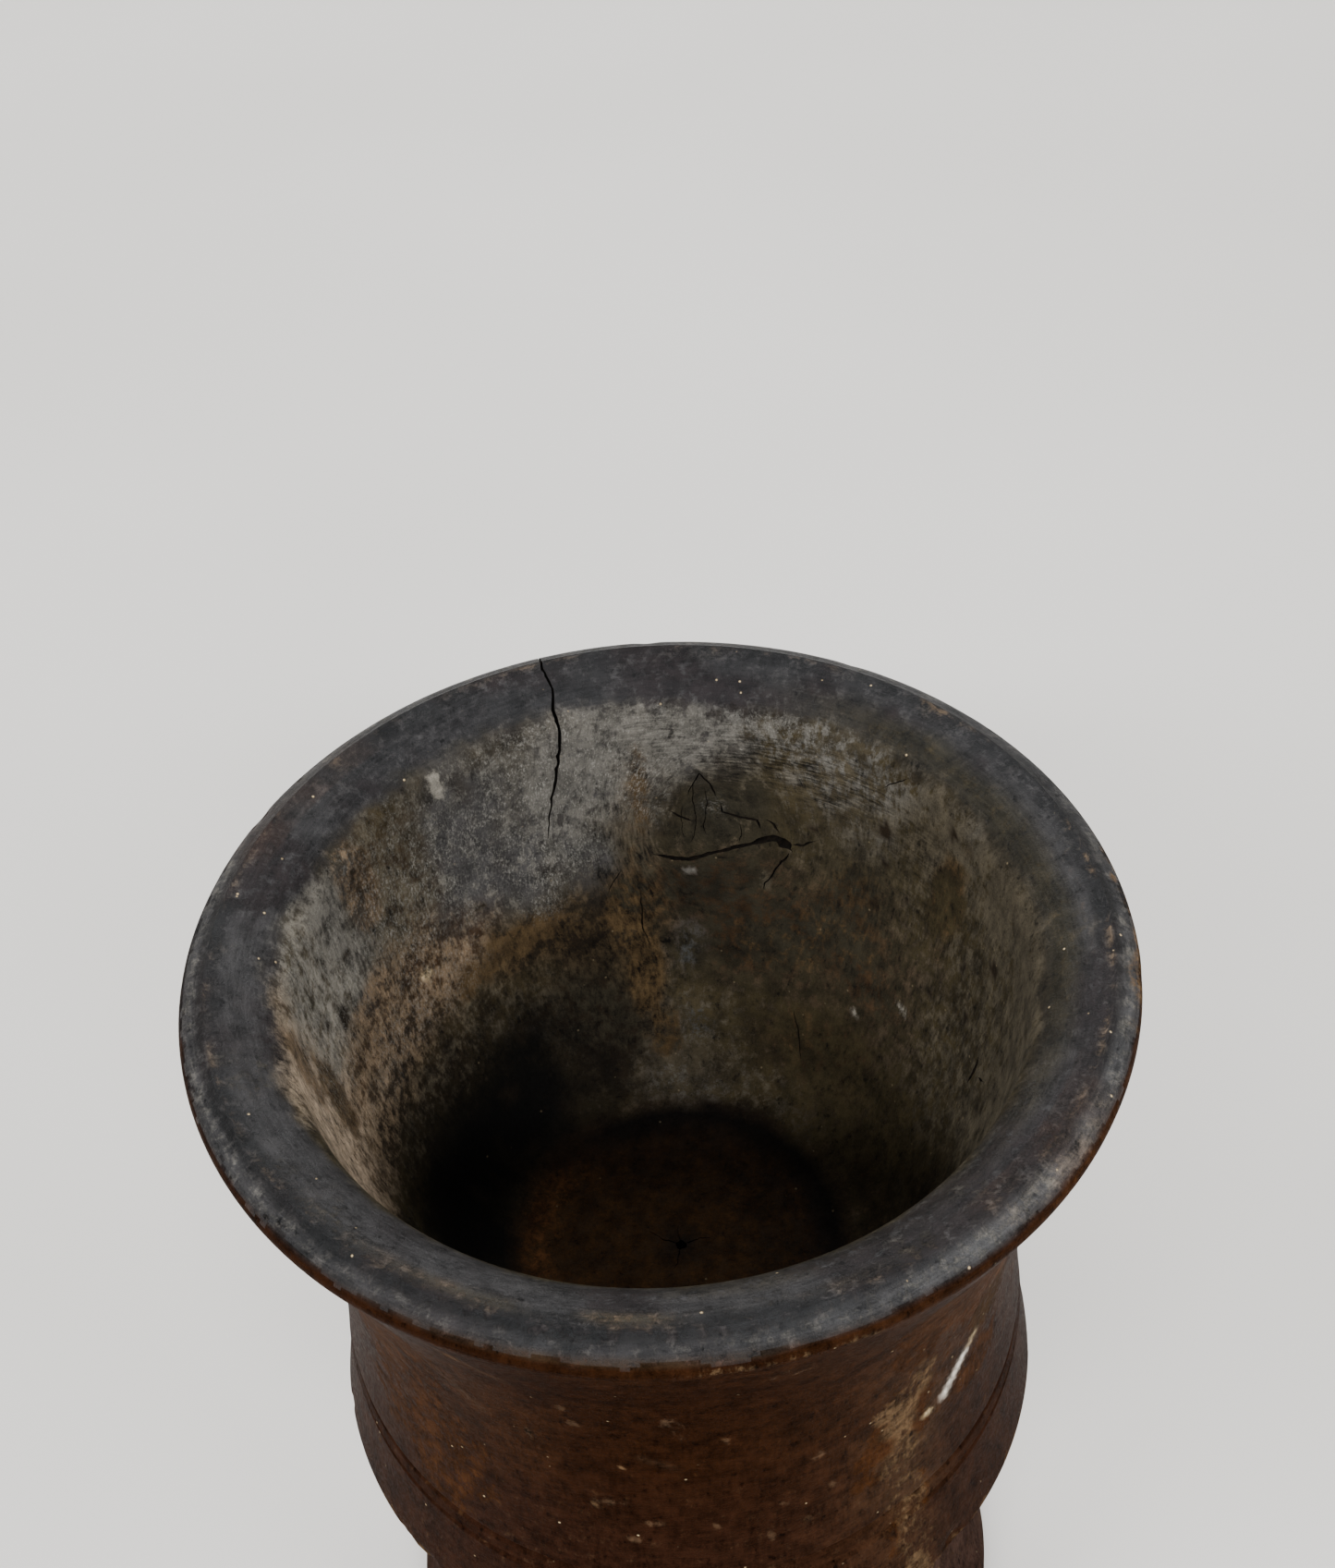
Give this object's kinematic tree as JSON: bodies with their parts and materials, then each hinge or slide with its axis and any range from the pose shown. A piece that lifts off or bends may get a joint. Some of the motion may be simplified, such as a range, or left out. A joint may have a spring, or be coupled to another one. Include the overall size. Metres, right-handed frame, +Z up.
{
  "type": "turned wooden mortar and pestle",
  "caption": "Turned wooden mortar with a flared rim, deep bowl, grooved drum and pedestal foot, and a turned wooden pestle that lies beside it and lifts away.",
  "frame": {"origin": "centre of the mortar's flat foot face, on the surface that it stands on", "axes": "+Z up along the mortar's axis of turning; the pestle lies along X on the -Y side"},
  "size_m": [0.1958, 0.184, 0.184],
  "materials": {
    "mortar_lacquer": "worn dark brown lacquer, satin, bare and stained inside",
    "pestle_wood": "worn bare wood, darkened by handling"
  },
  "bodies": {
    "mortar_body": {"mortar": "mortar_lacquer"},
    "pestle_body": {"pestle": "pestle_wood"}
  },
  "joints": [
    {"name": "pestle_lift", "type": "slide", "parent": "mortar_body", "child": "pestle_body", "axis": [0, 0, 1], "range_m": [0, 0.22]}
  ]
}
